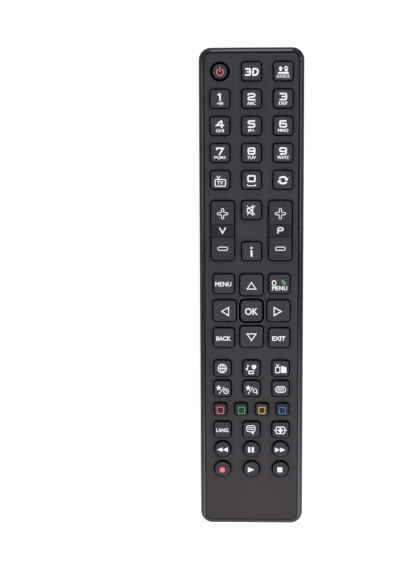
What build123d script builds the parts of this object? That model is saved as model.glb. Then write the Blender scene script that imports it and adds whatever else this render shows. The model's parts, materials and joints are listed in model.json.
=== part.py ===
from build123d import *
from dataclasses import dataclass
from math import cos, pi, sin
import os

os.makedirs("parts", exist_ok=True)

# A handheld television remote control, in millimetres. X runs across the handset, +Y towards
# the emitter end, +Z towards the user. The origin is the centre of the footprint, at the
# lowest level of the back.

# Key caps: widths across X, heights along Y
number_key = (8.25, 7.95)
power_key = 6.5
centre_key = (8.5, 8.2)
rocker_key = (10.2, 26.9)
rocker_pad = 10.4
arrow_key = (10.2, 9.6)
corner_key = (9.2, 8.65)
ok_key = 9.6
small_key = (7.4, 7.1)
round_key = 7.05
colour_key = 5.25
square_corner = 1.1
arrow_corner = 1.4
ok_corner = 1.8
colour_corner = 0.8

# Spaces between key caps
number_gap = (5.9, 4.13)
rocker_gap = 3.7
corner_gap = (2.95, 3.33)
arrow_gap = 0.72
small_gap = (5.95, 2.4)
round_gap = 2.25
colour_gap = (4.3, 3.5)
numbers_to_rockers = 5.6
rockers_to_arrows = 6.5
arrows_to_functions = 6.45
end_margin = 6.7
heel_margin = 23.3
side_margin = 5.42

# Key travel and fit
key_rise = 1.5
proud_rise = 1.85
key_travel = 0.8
rocker_dip = 0.9
visible_gap = 0.65
guide_gap = 0.3
flange_reach = 0.5
flange_thick = 0.6
flange_gap = 0.05
cap_round = 0.45
plunger_radius = 1.5
plunger_hole_gap = 0.3
pivot_radius = 0.7
pivot_gap = 0.05
pivot_rise = 0.175
rocker_flange = 1.8
rocker_reach = 0.2

# Front housing and face plate
plan_corner = 5.5
least_corner = 0.5
edge_round = 2.6
front_depth = 3.4
front_wall = 1.5
bezel_width = 2.2
groove = 0.45
plate_thick = 0.8
deck_thick = 1.0
power_dish = 8.9
ok_recess = 11.8
ok_ring = 12.9
ring_rise = 0.55
ring_round = 0.2
clamp_rib = 1.2

# Membrane and circuit board
membrane_thick = 0.8
board_thick = 1.0
board_gap = 0.2

# Rear shell, seen from the side: depths are measured from the face
rear_wall = 1.5
back_round = 2.0
flank_margin = 1.0
nose_depth = 5.8
nose_length = 20.0
upper_depth = 15.2
grip_start = 112.5
grip_run = 9.15
grip_depth = 18.1
heel_depth = 19.65
heel_length = 14.0
heel_bulge = (4.5, 12.5)
tail_depth = 5.5
lip_thick = 1.0
lip_gap = 0.1
lip_height = 1.4
roof_thick = 1.0
bulkhead = 1.3
rib_thick = 1.0
rib_places = (30.0, 64.0, 98.0)

# Battery cover
cover_wall = 1.3
cover_length = 75.5
seam_lean = 1.8
seam_gap = 0.2
slide_gap = 0.1
tray_gap = 0.25
runner_reach = 1.1
runner_thick = 1.1
runner_length = 10.0
runner_gap = 0.3
runner_root = 0.65
runner_shares = (0.15, 0.5, 0.85)
rail_thick = 1.1
rail_start = 3.0
tongue_width = 5.0
tongue_place = 16.5
tongue_thick = 1.0
tongue_reach = 3.0
tongue_gap = 0.3
tongue_slot = 9.0
grip_groove = (14.0, 0.9, 0.4)
grip_corner = 0.3
grip_pitch = 2.2
grip_count = 4
grip_offset = 7.0

# Battery bay: two cells of the small cylindrical size, side by side
cell_radius = 5.25
cell_length = 44.5
cell_nub = (1.9, 1.0)
cell_edge_round = 0.475
cell_spacing = 12.0
cell_gap = 0.3
bay_offset = 6.0
bay_wall = 1.2
bay_depth = 9.4
divider = (0.9, 3.4)
divider_gap = 1.0
spring_room = 4.9
spring_wire = 0.5
spring_turns = 4.5
spring_radii = (3.4, 2.2)
contact_thick = 0.4
contact_size = (8.4, 8.0)
contact_tab = 2.0
tab_gap = 0.1

# Case screws
screw_shank = 0.8
screw_head = (1.7, 1.2)
screw_head_round = 0.4
screw_slot = (2.0, 0.4)
screw_fit = 0.03
screw_hole_gap = 0.25
screw_place = (12.0, 3.6)
boss_radius = 2.0
boss_hole_gap = 0.3

# Emitter and board components
window_width = 20.0
window_depths = (4.3, 10.6)
window_gap = 0.08
led_radius = 2.5
led_length = 8.6
led_dome = 2.375
led_rim = (2.8, 1.0)
led_drop = 2.9
led_inset = 7.5
led_leg = (0.5, 2.54)
chip = (7.5, 17.9, 2.3)
chip_place = 42.0
chip_lead = (1.6, 0.4)
chip_lead_reach = 0.5
chip_lead_pitch = 1.27
chip_lead_count = 14
capacitor = (2.5, 9.0)
capacitor_place = (12.0, 52.0)
resonator = (7.0, 3.0, 3.0)
resonator_corner = 1.0
resonator_place = (-12.0, 38.0)

# Rows of keys, measured down from the emitter end
row_from_end = {}
row_from_end["numbers"] = end_margin + number_key[1] / 2
number_pitch = (number_key[0] + number_gap[0], number_key[1] + number_gap[1])
numbers_end = end_margin + 5 * number_key[1] + 4 * number_gap[1]
rocker_start = numbers_end + numbers_to_rockers
row_from_end["rockers"] = rocker_start + rocker_key[1] / 2
row_from_end["mute"] = rocker_start + centre_key[1] / 2
row_from_end["info"] = rocker_start + rocker_key[1] - centre_key[1] / 2
arrow_step = (
    ok_ring / 2 + arrow_gap + arrow_key[0] / 2,
    ok_ring / 2 + arrow_gap + arrow_key[1] / 2,
)
corner_step = (
    arrow_key[0] / 2 + corner_gap[0] + corner_key[0] / 2,
    arrow_key[1] / 2 + corner_gap[1] + corner_key[1] / 2,
)
cluster_half = max(arrow_step[1] + arrow_key[1] / 2, corner_step[1] + corner_key[1] / 2)
row_from_end["ok"] = rocker_start + rocker_key[1] + rockers_to_arrows + cluster_half
row_from_end["smart"] = (
    row_from_end["ok"] + cluster_half + arrows_to_functions + small_key[1] / 2
)
row_from_end["favourites"] = row_from_end["smart"] + small_key[1] + small_gap[1]
colour_step = small_key[1] / 2 + colour_gap[1] + colour_key / 2
row_from_end["colours"] = row_from_end["favourites"] + colour_step
row_from_end["language"] = row_from_end["colours"] + colour_step
row_from_end["rewind"] = (
    row_from_end["language"] + (small_key[1] + round_key) / 2 + round_gap
)
row_from_end["record"] = row_from_end["rewind"] + round_key + small_gap[1]
length = row_from_end["record"] + round_key / 2 + heel_margin
row = {name: length / 2 - distance for name, distance in row_from_end.items()}

# Columns of keys, measured from the middle
number_column = number_pitch[0]
rocker_column = centre_key[0] / 2 + rocker_gap + rocker_key[0] / 2
small_column = small_key[0] + small_gap[0]
colour_pitch = colour_key + colour_gap[0]
widest_block = max(
    number_column + number_key[0] / 2,
    rocker_column + rocker_key[0] / 2,
    corner_step[0] + corner_key[0] / 2,
    small_column + small_key[0] / 2,
    1.5 * colour_pitch + colour_key / 2,
)
width = 2 * (widest_block + side_margin)

# Levels of the stack, from the face down
face_z = heel_depth
plate_z = face_z - plate_thick
deck_z = plate_z - deck_thick
flange_top_z = deck_z - flange_gap
flange_z = flange_top_z - flange_thick
membrane_top_z = flange_z - key_travel - flange_gap
membrane_z = membrane_top_z - membrane_thick
board_z = membrane_z - board_thick
roof_z = board_z - roof_thick
plunger_z = membrane_z + key_travel + flange_gap
parting_z = face_z - front_depth
cell_z = roof_z - cell_gap - cell_radius


@dataclass
class Key:
    name: str
    x: float
    y: float
    size: tuple
    corner: float
    round: bool = False
    rise: float = key_rise


keys = [Key("power", -number_column, row["numbers"], (power_key, power_key), 0, True)]
number_names = [
    ["three_d", "source"],
    ["digit_1", "digit_2", "digit_3"],
    ["digit_4", "digit_5", "digit_6"],
    ["digit_7", "digit_8", "digit_9"],
    ["television", "digit_0", "swap"],
]
for rank, names in enumerate(number_names):
    for column, name in enumerate(names, start=2 - len(names)):
        x = column * number_column
        y = row["numbers"] - rank * number_pitch[1]
        keys.append(Key(name, x, y, number_key, square_corner))

keys.append(Key("mute", 0, row["mute"], centre_key, square_corner))
keys.append(Key("info", 0, row["info"], centre_key, square_corner))

for name, side, end in (("up", 0, 1), ("down", 0, -1), ("left", -1, 0), ("right", 1, 0)):
    x = side * arrow_step[0]
    y = row["ok"] + end * arrow_step[1]
    keys.append(Key(name, x, y, arrow_key, arrow_corner))
for name, side, end in (("menu", -1, 1), ("tools", 1, 1), ("back", -1, -1), ("exit", 1, -1)):
    x = side * corner_step[0]
    y = row["ok"] + end * corner_step[1]
    keys.append(Key(name, x, y, corner_key, square_corner))
keys.append(Key("ok", 0, row["ok"], (ok_key, ok_key), ok_corner))

small_names = {
    "smart": ["network", "media", "recordings"],
    "favourites": ["timer", "search", "teletext"],
    "language": ["language", "subtitles", "picture_size"],
}
for rank, names in small_names.items():
    for column, name in enumerate(names, start=-1):
        keys.append(Key(name, column * small_column, row[rank], small_key, square_corner))
for column, name in enumerate(["red", "green", "yellow", "blue"]):
    x = (column - 1.5) * colour_pitch
    keys.append(Key(name, x, row["colours"], (colour_key, colour_key), colour_corner))
round_names = {"rewind": ["rewind", "pause", "forward"], "record": ["record", "play", "stop"]}
for rank, names in round_names.items():
    for column, name in enumerate(names, start=-1):
        x = column * small_column
        keys.append(Key(name, x, row[rank], (round_key, round_key), 0, True))

# The colour keys and the rows below them stand a little prouder
for key in keys:
    if key.y <= row["colours"]:
        key.rise = proud_rise

rockers = [
    Key("volume_rocker", -rocker_column, row["rockers"], rocker_key, arrow_corner),
    Key("programme_rocker", rocker_column, row["rockers"], rocker_key, arrow_corner),
]


# One cap's outline in the current sketch, grown by a clearance
def cap_outline(key, grow=0.0, mode=Mode.ADD):
    with Locations((key.x, key.y)):
        if key.round:
            Circle(key.size[0] / 2 + grow, mode=mode)
        else:
            across = key.size[0] + 2 * grow
            along = key.size[1] + 2 * grow
            RectangleRounded(across, along, key.corner + grow, mode=mode)


# The handset's outline in the current sketch, drawn in by an inset
def plan_outline(inset=0.0, mode=Mode.ADD):
    corner = max(plan_corner - inset, least_corner)
    RectangleRounded(width - 2 * inset, length - 2 * inset, corner, mode=mode)


# The outline of the rear shell from the side, in the YZ plane, up to a chosen level
def side_outline(top_z, inset=0.0):
    nose_y = length / 2
    tail_y = -length / 2
    flat_end = nose_y - grip_start
    with BuildSketch(Plane.YZ) as outline:
        with BuildLine():
            nose = (nose_y, face_z - nose_depth)
            nose_top = (nose_y - nose_length, face_z - upper_depth)
            grip_top = (flat_end, face_z - upper_depth)
            grip_edge = (flat_end - grip_run, face_z - grip_depth)
            heel = (tail_y + heel_length, 0)
            tail = (tail_y, face_z - tail_depth)
            Line((nose_y, top_z), nose)
            TangentArc(nose_top, nose, tangent=(1, 0))
            Line(nose_top, grip_top)
            TangentArc(grip_top, grip_edge, tangent=(-1, 0))
            Line(grip_edge, heel)
            ThreePointArc(heel, (tail_y + heel_bulge[0], face_z - heel_bulge[1]), tail)
            Line(tail, (tail_y, top_z))
            Line((tail_y, top_z), (nose_y, top_z))
        make_face()
        if inset:
            offset(amount=-inset, kind=Kind.INTERSECTION)
    return outline.sketch


# The seam between rear shell and cover leans from the back up to the parting line
seam_y = -length / 2 + cover_length
seam_plane = Plane(origin=(0, seam_y, 0), x_dir=(1, 0, 0), z_dir=(0, parting_z, seam_lean))
grip_y = length / 2 - grip_start - grip_run
heel_y = -length / 2 + heel_length
seam_back_z = (heel_depth - grip_depth) * (seam_y - heel_y) / (grip_y - heel_y)

# Battery bay, measured from the seam towards the tail
bay_top_y = seam_y - bay_offset - bay_wall
bay_length = 2 * contact_thick + cell_length + spring_room
bay_end_y = bay_top_y - bay_length
bay_half = cell_spacing / 2 + cell_radius + cell_gap
bay_floor_z = roof_z - bay_depth
screw_points = [(side * screw_place[0], bay_end_y - bay_wall - screw_place[1]) for side in (-1, 1)]

# Front housing: rounded bezel, side walls, deck with a hole for every key
with BuildPart() as front_housing:
    with BuildSketch(Plane.XY.offset(parting_z)):
        plan_outline()
    extrude(amount=front_depth)
    fillet(front_housing.faces().sort_by(Axis.Z)[-1].edges(), edge_round)
    with BuildSketch(Plane.XY.offset(parting_z)):
        plan_outline(front_wall)
    extrude(amount=deck_z - parting_z, mode=Mode.SUBTRACT)
    with BuildSketch(Plane.XY.offset(plate_z)):
        plan_outline(bezel_width)
    extrude(amount=plate_thick, mode=Mode.SUBTRACT)
    with BuildSketch(Plane.XY.offset(membrane_top_z)):
        plan_outline(front_wall + lip_gap + lip_thick + board_gap)
        plan_outline(front_wall + lip_gap + lip_thick + board_gap + clamp_rib, Mode.SUBTRACT)
    extrude(amount=deck_z - membrane_top_z)
    with BuildSketch(Plane.XY.offset(board_z)):
        with Locations(*screw_points):
            Circle(boss_radius)
    extrude(amount=deck_z - board_z)
    with BuildSketch(Plane.XY.offset(board_z)):
        with Locations(*screw_points):
            Circle(screw_shank + screw_fit)
    extrude(amount=deck_z - board_z, mode=Mode.SUBTRACT)
    with BuildSketch(Plane.XY.offset(deck_z)):
        for key in keys + rockers:
            cap_outline(key, guide_gap)
    extrude(amount=deck_thick, mode=Mode.SUBTRACT)
front_housing.part.label = "front_housing"
export_step(front_housing.part, "parts/front_housing.step")

# Face plate: thin panel in the bezel, with the raised ring round the middle key
with BuildPart() as face_plate:
    with BuildSketch(Plane.XY.offset(plate_z)):
        plan_outline(bezel_width + groove)
        for key in keys + rockers:
            if key.name not in ("ok", "power"):
                cap_outline(key, visible_gap, Mode.SUBTRACT)
    extrude(amount=plate_thick)
    with BuildSketch(Plane.XY.offset(face_z)):
        with Locations((0, row["ok"])):
            RectangleRounded(ok_ring, ok_ring, ok_corner + (ok_ring - ok_key) / 2)
    extrude(amount=ring_rise)
    fillet(face_plate.faces().sort_by(Axis.Z)[-1].edges(), ring_round)
    with BuildSketch(Plane.XY.offset(plate_z)):
        with Locations((0, row["ok"])):
            RectangleRounded(ok_recess, ok_recess, ok_corner + (ok_recess - ok_key) / 2)
        with Locations((-number_column, row["numbers"])):
            Circle(power_dish / 2)
    extrude(amount=plate_thick + ring_rise, mode=Mode.SUBTRACT)
face_plate.part.label = "face_plate"
export_step(face_plate.part, "parts/face_plate.step")

# Plain key caps: cap through the deck, retaining flange under it, plunger through the membrane
for key in keys:
    with BuildPart() as cap:
        with BuildSketch(Plane.XY.offset(flange_z)):
            cap_outline(key)
        extrude(amount=face_z + key.rise - flange_z)
        fillet(cap.faces().sort_by(Axis.Z)[-1].edges(), cap_round)
        with BuildSketch(Plane.XY.offset(flange_z)):
            cap_outline(key, guide_gap + flange_reach)
        extrude(amount=flange_thick)
        with BuildSketch(Plane.XY.offset(plunger_z)):
            with Locations((key.x, key.y)):
                Circle(plunger_radius)
        extrude(amount=flange_z - plunger_z)
    cap.part.label = key.name
    export_step(cap.part, f"parts/{key.name}.step")

# Rockers: two raised pads on one bar that tips about a rounded heel under its middle
rocker_pivot_z = membrane_top_z + pivot_rise
rocker_plungers = (rocker_key[1] - rocker_pad) / 2
for key in rockers:
    with BuildPart() as rocker:
        with BuildSketch(Plane.XY.offset(flange_z)):
            cap_outline(key)
        extrude(amount=face_z + key_rise - rocker_dip - flange_z)
        with BuildSketch(Plane.XY.offset(face_z + key_rise - rocker_dip)):
            cap_outline(key)
            with Locations((key.x, key.y)):
                Rectangle(rocker_key[0], rocker_key[1] - 2 * rocker_pad, mode=Mode.SUBTRACT)
        extrude(amount=rocker_dip)
        fillet(rocker.faces().sort_by(Axis.Z)[-2:].edges(), cap_round)
        with BuildSketch(Plane.XY.offset(flange_z)):
            with Locations((key.x, key.y)):
                Rectangle(rocker_key[0] + 2 * (guide_gap + flange_reach), rocker_flange)
        extrude(amount=flange_thick - 2 * flange_gap)
        with BuildSketch(Plane.XY.offset(plunger_z - rocker_reach)):
            with GridLocations(0, 2 * rocker_plungers, 1, 2):
                with Locations((key.x, key.y)):
                    Circle(plunger_radius)
        extrude(amount=flange_z - plunger_z + rocker_reach)
        with BuildSketch(Plane.YZ.offset(key.x - rocker_key[0] / 2)):
            with Locations((key.y, rocker_pivot_z)):
                Circle(pivot_radius)
            with Locations((key.y, (rocker_pivot_z + flange_z) / 2)):
                Rectangle(2 * pivot_radius, flange_z - rocker_pivot_z)
        extrude(amount=rocker_key[0])
    rocker.part.label = key.name
    export_step(rocker.part, f"parts/{key.name}.step")

# Keypad membrane: rubber sheet under the keys, pierced for their plungers
with BuildPart() as keypad_membrane:
    with BuildSketch(Plane.XY.offset(membrane_z)):
        plan_outline(front_wall + lip_gap + lip_thick + board_gap)
        for key in keys:
            with Locations((key.x, key.y)):
                Circle(plunger_radius + plunger_hole_gap, mode=Mode.SUBTRACT)
        for key in rockers:
            with Locations((key.x, key.y)):
                with GridLocations(0, 2 * rocker_plungers, 1, 2):
                    Circle(plunger_radius + plunger_hole_gap, mode=Mode.SUBTRACT)
        with Locations(*screw_points):
            Circle(boss_radius + boss_hole_gap, mode=Mode.SUBTRACT)
    extrude(amount=membrane_thick)
    for key in rockers:
        with BuildSketch(Plane.YZ.offset(key.x - rocker_key[0] / 2 - plunger_hole_gap)):
            with Locations((key.y, rocker_pivot_z)):
                Circle(pivot_radius + pivot_gap)
        extrude(amount=rocker_key[0] + 2 * plunger_hole_gap, mode=Mode.SUBTRACT)
keypad_membrane.part.label = "keypad_membrane"
export_step(keypad_membrane.part, "parts/keypad_membrane.step")

# Circuit board under the membrane
with BuildPart() as circuit_board:
    with BuildSketch(Plane.XY.offset(board_z)):
        plan_outline(front_wall + lip_gap + lip_thick + board_gap)
        with Locations(*screw_points):
            Circle(boss_radius + boss_hole_gap, mode=Mode.SUBTRACT)
    extrude(amount=board_thick)
circuit_board.part.label = "circuit_board"
export_step(circuit_board.part, "parts/circuit_board.step")

# The whole outer form of the back, from which rear shell and cover are both cut
with BuildPart() as back_form:
    extrude(side_outline(parting_z), amount=width / 2, both=True)
    flank_edges = back_form.faces().filter_by(Axis.X).edges().filter_by(Axis.Z, reverse=True)
    fillet(flank_edges.filter_by(lambda edge: edge.center().Z < parting_z - flank_margin), back_round)
    with BuildSketch(Plane.XY):
        plan_outline()
    extrude(amount=face_z, mode=Mode.INTERSECT)


# The hollow inside the back, a wall's thickness in from the outer form
def back_hollow(wall):
    with BuildPart() as hollow:
        extrude(side_outline(parting_z + wall, wall), amount=width / 2, both=True)
        with BuildSketch(Plane.XY):
            plan_outline(wall)
        extrude(amount=face_z, mode=Mode.INTERSECT)
    return hollow.part


lip_inset = front_wall + lip_gap
rail_x = width / 2 - cover_wall - runner_reach - runner_gap - rail_thick
ledge_top_z = roof_z - runner_gap - runner_thick - runner_gap
rail_end_y = bay_end_y - bay_wall
rail_length = seam_y - rail_start - rail_end_y
tongue_z = seam_back_z + rear_wall + 2 * tongue_gap
tongue_root_z = seam_back_z + cover_wall / 2
shell_hollow = split(back_hollow(rear_wall), bisect_by=seam_plane.offset(bulkhead), keep=Keep.TOP)

# Space that belongs to the cover's own wall, with its clearance
with BuildPart() as cover_space:
    add(back_form.part)
    split(bisect_by=seam_plane.offset(-seam_gap / 2), keep=Keep.BOTTOM)
    add(back_hollow(cover_wall + tray_gap), mode=Mode.SUBTRACT)

# Rear shell: upper back, bulkhead at the seam, and the battery tray that the cover slides over
with BuildPart() as rear_shell:
    add(back_form.part)
    split(bisect_by=seam_plane.offset(seam_gap / 2), keep=Keep.TOP)
    add(shell_hollow, mode=Mode.SUBTRACT)
    # shoulder that carries the locating lip along the upper walls
    with BuildSketch(Plane.XY.offset(roof_z)):
        with Locations((0, (seam_y + length / 2) / 2)):
            Rectangle(width, length / 2 - seam_y)
        plan_outline(rear_wall / 2, Mode.INTERSECT)
        plan_outline(lip_inset + lip_thick, Mode.SUBTRACT)
    extrude(amount=parting_z - roof_z)
    # ribs under the board
    with BuildSketch(Plane.XY.offset(face_z - upper_depth + rear_wall / 2)):
        for place in rib_places:
            with Locations((0, length / 2 - place)):
                Rectangle(width - 2 * rear_wall, rib_thick)
    extrude(amount=board_z - face_z + upper_depth - rear_wall / 2)
    # board space above the tray level
    with BuildSketch(Plane.XY.offset(board_z)):
        plan_outline(lip_inset + lip_thick)
    extrude(amount=parting_z - board_z, mode=Mode.SUBTRACT)
    # tray roof
    with BuildSketch(Plane.XY.offset(roof_z)):
        plan_outline(lip_inset)
        with Locations((0, (seam_y + length / 2) / 2)):
            Rectangle(width, length / 2 - seam_y, mode=Mode.SUBTRACT)
    extrude(amount=roof_thick)
    # locating lip inside the front housing
    with BuildSketch(Plane.XY.offset(roof_z)):
        plan_outline(lip_inset)
        plan_outline(lip_inset + lip_thick, Mode.SUBTRACT)
    extrude(amount=parting_z + lip_height - roof_z)
    # battery bay walls and the divider between the cells
    with BuildSketch(Plane.XY.offset(bay_floor_z)):
        with Locations((0, (bay_top_y + bay_end_y) / 2)):
            Rectangle(2 * (bay_half + bay_wall), bay_length + 2 * bay_wall)
            Rectangle(2 * bay_half, bay_length, mode=Mode.SUBTRACT)
    extrude(amount=bay_depth)
    with BuildSketch(Plane.XY.offset(roof_z - divider[1])):
        with Locations((0, (bay_top_y + bay_end_y) / 2)):
            Rectangle(divider[0], bay_length - 2 * divider_gap)
    extrude(amount=divider[1])
    # rails with a ledge under the cover's runners
    with BuildSketch(Plane.XY.offset(ledge_top_z)):
        for side in (-1, 1):
            with Locations((side * (rail_x + rail_thick / 2), rail_end_y + rail_length / 2)):
                Rectangle(rail_thick, rail_length)
    extrude(amount=roof_z - ledge_top_z)
    with BuildSketch(Plane.XY.offset(ledge_top_z - rail_thick)):
        for side in (-1, 1):
            ledge_x = (rail_x + width / 2 - lip_inset) / 2
            with Locations((side * ledge_x, rail_end_y + rail_length / 2)):
                Rectangle(width / 2 - lip_inset - rail_x, rail_length)
    extrude(amount=rail_thick)
    add(cover_space.part, mode=Mode.SUBTRACT)
    # slots in the bulkhead for the cover's tongues
    with BuildSketch(Plane.XY.offset(tongue_z - tongue_gap)):
        with Locations((-tongue_place, seam_y), (tongue_place, seam_y)):
            Rectangle(tongue_width + 2 * tongue_gap, tongue_slot)
    extrude(amount=tongue_thick + 2 * tongue_gap, mode=Mode.SUBTRACT)
    # screw holes through the roof
    with BuildSketch(Plane.XY.offset(roof_z)):
        with Locations(*screw_points):
            Circle(screw_shank + screw_hole_gap)
    extrude(amount=roof_thick, mode=Mode.SUBTRACT)
    # solder tab slots through the roof
    with BuildSketch(Plane.XY.offset(roof_z)):
        with GridLocations(cell_spacing, 0, 2, 1):
            with Locations((0, bay_top_y - contact_thick / 2)):
                Rectangle(contact_tab + 2 * tab_gap, contact_thick + 2 * tab_gap)
    extrude(amount=roof_thick, mode=Mode.SUBTRACT)
    # emitter window opening
    with BuildSketch(Plane.XY.offset(face_z - window_depths[1] - window_gap)):
        with Locations((0, length / 2 - nose_length / 2)):
            Rectangle(window_width + 2 * window_gap, nose_length + 2 * rear_wall)
    extrude(amount=window_depths[1] - window_depths[0] + 2 * window_gap, mode=Mode.SUBTRACT)
rear_shell.part.label = "rear_shell"
export_step(rear_shell.part, "parts/rear_shell.step")

# Battery cover: whole lower back, sliding off towards the tail
with BuildPart() as battery_cover:
    add(back_form.part)
    split(bisect_by=seam_plane.offset(-seam_gap / 2), keep=Keep.BOTTOM)
    add(back_hollow(cover_wall), mode=Mode.SUBTRACT)
    with BuildSketch(Plane.XY.offset(parting_z - slide_gap)):
        plan_outline()
    extrude(amount=slide_gap, mode=Mode.SUBTRACT)
    with BuildSketch(Plane.XY.offset(roof_z - runner_gap - runner_thick)):
        for side in (-1, 1):
            runner_x = width / 2 - cover_wall - (runner_reach - runner_root) / 2
            for share in runner_shares:
                with Locations((side * runner_x, rail_end_y + share * rail_length)):
                    Rectangle(runner_reach + runner_root, runner_length)
    extrude(amount=runner_thick)
    with BuildSketch(Plane.XY.offset(tongue_z)):
        for side in (-1, 1):
            with Locations((side * tongue_place, seam_y)):
                Rectangle(tongue_width, 2 * tongue_reach)
    extrude(amount=tongue_thick)
    with BuildSketch(Plane.XY.offset(tongue_root_z)):
        for side in (-1, 1):
            with Locations((side * tongue_place, seam_y - tongue_reach)):
                Rectangle(tongue_width, tongue_reach)
    extrude(amount=tongue_z + tongue_thick - tongue_root_z)
    with BuildSketch(Plane.XY):
        for place in range(grip_count):
            with Locations((0, seam_y - grip_offset - place * grip_pitch)):
                RectangleRounded(grip_groove[0], grip_groove[1], grip_corner)
    extrude(amount=seam_back_z + grip_groove[2] / 2, mode=Mode.SUBTRACT)
battery_cover.part.label = "battery_cover"
export_step(battery_cover.part, "parts/battery_cover.step")

# Emitter window: tinted piece of the nose wall, flush inside and out
with BuildPart() as infrared_window:
    add(back_form.part)
    add(back_hollow(rear_wall), mode=Mode.SUBTRACT)
    with BuildSketch(Plane.XY.offset(face_z - window_depths[1])):
        with Locations((0, length / 2 - nose_length / 4)):
            Rectangle(window_width, nose_length / 2 + 2 * rear_wall)
    extrude(amount=window_depths[1] - window_depths[0], mode=Mode.INTERSECT)
infrared_window.part.label = "infrared_window"
export_step(infrared_window.part, "parts/infrared_window.step")

# Infrared emitter: domed lamp behind the window, hung under the board by its two legs
led_y = length / 2 - led_inset - led_length
led_z = board_z - led_drop
leg_y = led_y - led_leg[1] / 2
led_base = Plane(origin=(0, led_y, led_z), x_dir=(1, 0, 0), z_dir=(0, 1, 0))
with BuildPart() as infrared_led:
    with BuildSketch(led_base):
        Circle(led_radius)
    extrude(amount=led_length)
    fillet(infrared_led.faces().sort_by(Axis.Y)[-1].edges(), led_dome)
    with BuildSketch(led_base):
        Circle(led_rim[0])
    extrude(amount=led_rim[1])
    with BuildSketch(led_base):
        with GridLocations(led_leg[1], 0, 2, 1):
            Rectangle(led_leg[0], led_leg[0])
    extrude(amount=-led_leg[1] / 2 - led_leg[0] / 2)
    with BuildSketch(Plane.XY.offset(led_z)):
        with Locations((0, leg_y)):
            with GridLocations(led_leg[1], 0, 2, 1):
                Rectangle(led_leg[0], led_leg[0])
    extrude(amount=board_z - led_z)
infrared_led.part.label = "infrared_led"
export_step(infrared_led.part, "parts/infrared_led.step")

# Components on the back of the board
with BuildPart() as board_components:
    with BuildSketch(Plane.XY.offset(board_z - chip[2])):
        with Locations((0, length / 2 - chip_place)):
            Rectangle(chip[0], chip[1])
    extrude(amount=chip[2])
    with BuildSketch(Plane.XY.offset(board_z - chip[2] / 2)):
        with Locations((0, length / 2 - chip_place)):
            with GridLocations(chip[0] + 2 * chip_lead_reach, chip_lead_pitch, 2, chip_lead_count):
                Rectangle(chip_lead[0], chip_lead[1])
    extrude(amount=chip[2] / 2)
    capacitor_plane = Plane(
        origin=(capacitor_place[0], length / 2 - capacitor_place[1], board_z - capacitor[0]),
        x_dir=(1, 0, 0),
        z_dir=(0, -1, 0),
    )
    with BuildSketch(capacitor_plane):
        Circle(capacitor[0])
    extrude(amount=capacitor[1])
    with BuildSketch(Plane.XY.offset(board_z - resonator[2])):
        with Locations((resonator_place[0], length / 2 - resonator_place[1])):
            RectangleRounded(resonator[0], resonator[1], resonator_corner)
    extrude(amount=resonator[2])
board_components.part.label = "board_components"
export_step(board_components.part, "parts/board_components.step")

# Cells: the left one points up the handset, the right one down
cell_tops = [
    Plane(origin=(side * cell_spacing / 2, nub_y, cell_z), x_dir=(1, 0, 0), z_dir=(0, side, 0))
    for side, nub_y in ((-1, bay_top_y - contact_thick), (1, bay_end_y + contact_thick))
]
with BuildPart() as battery_cells:
    for cell_top in cell_tops:
        with BuildSketch(cell_top.offset(cell_nub[1])):
            Circle(cell_radius)
        extrude(amount=cell_length - cell_nub[1])
    fillet(battery_cells.edges().filter_by(GeomType.CIRCLE), cell_edge_round)
    for cell_top in cell_tops:
        with BuildSketch(cell_top):
            Circle(cell_nub[0])
        extrude(amount=cell_nub[1])
battery_cells.part.label = "battery_cells"
export_step(battery_cells.part, "parts/battery_cells.step")

# Contact plates: two with solder tabs at the top of the bay, one bridge at its end
with BuildPart() as contact_plates:
    with BuildSketch(Plane.XZ.offset(-bay_top_y)):
        with Locations((0, cell_z)):
            with GridLocations(cell_spacing, 0, 2, 1):
                Rectangle(contact_size[0], contact_size[1])
        with Locations((0, (cell_z + board_z) / 2)):
            with GridLocations(cell_spacing, 0, 2, 1):
                Rectangle(contact_tab, board_z - cell_z)
    extrude(amount=contact_thick)
    with BuildSketch(Plane.XZ.offset(-bay_end_y)):
        with Locations((0, cell_z)):
            Rectangle(cell_spacing + contact_size[0], contact_size[1])
    extrude(amount=-contact_thick)
contact_plates.part.label = "contact_plates"
export_step(contact_plates.part, "parts/contact_plates.step")


# One conical spring: tangent arcs, four to a turn, from the plate to the cell
def cell_spring(x, plate_y, facing):
    steps = int(4 * spring_turns)
    rise = spring_room - spring_wire
    points = []
    for step in range(steps + 1):
        share = step / steps
        radius = spring_radii[0] + share * (spring_radii[1] - spring_radii[0])
        angle = facing * step * pi / 2
        y = plate_y + facing * (spring_wire / 2 + share * rise)
        points.append((x + radius * cos(angle), y, cell_z + radius * sin(angle)))
    with BuildPart() as spring:
        with BuildLine() as wire:
            first = TangentArc(points[0], points[1], tangent=(0, 0, facing))
            heading = first % 1
            for start, end in zip(points[1:], points[2:]):
                turn = TangentArc(start, end, tangent=heading)
                heading = turn % 1
        with BuildSketch(Plane(origin=points[0], x_dir=(1, 0, 0), z_dir=first % 0)):
            Circle(spring_wire / 2)
        sweep(path=wire.wires()[0])
    return spring.part


# Springs press each cell's flat end: at the bay's end on the left, at its top on the right
with BuildPart() as contact_springs:
    add(cell_spring(-cell_spacing / 2, bay_end_y + contact_thick, 1))
    add(cell_spring(cell_spacing / 2, bay_top_y - contact_thick, -1))
contact_springs.part.label = "contact_springs"
export_step(contact_springs.part, "parts/contact_springs.step")
spring_pitch = (spring_room - spring_wire) / spring_turns
print("spring gap to itself", round(spring_pitch - spring_wire, 2))

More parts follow.
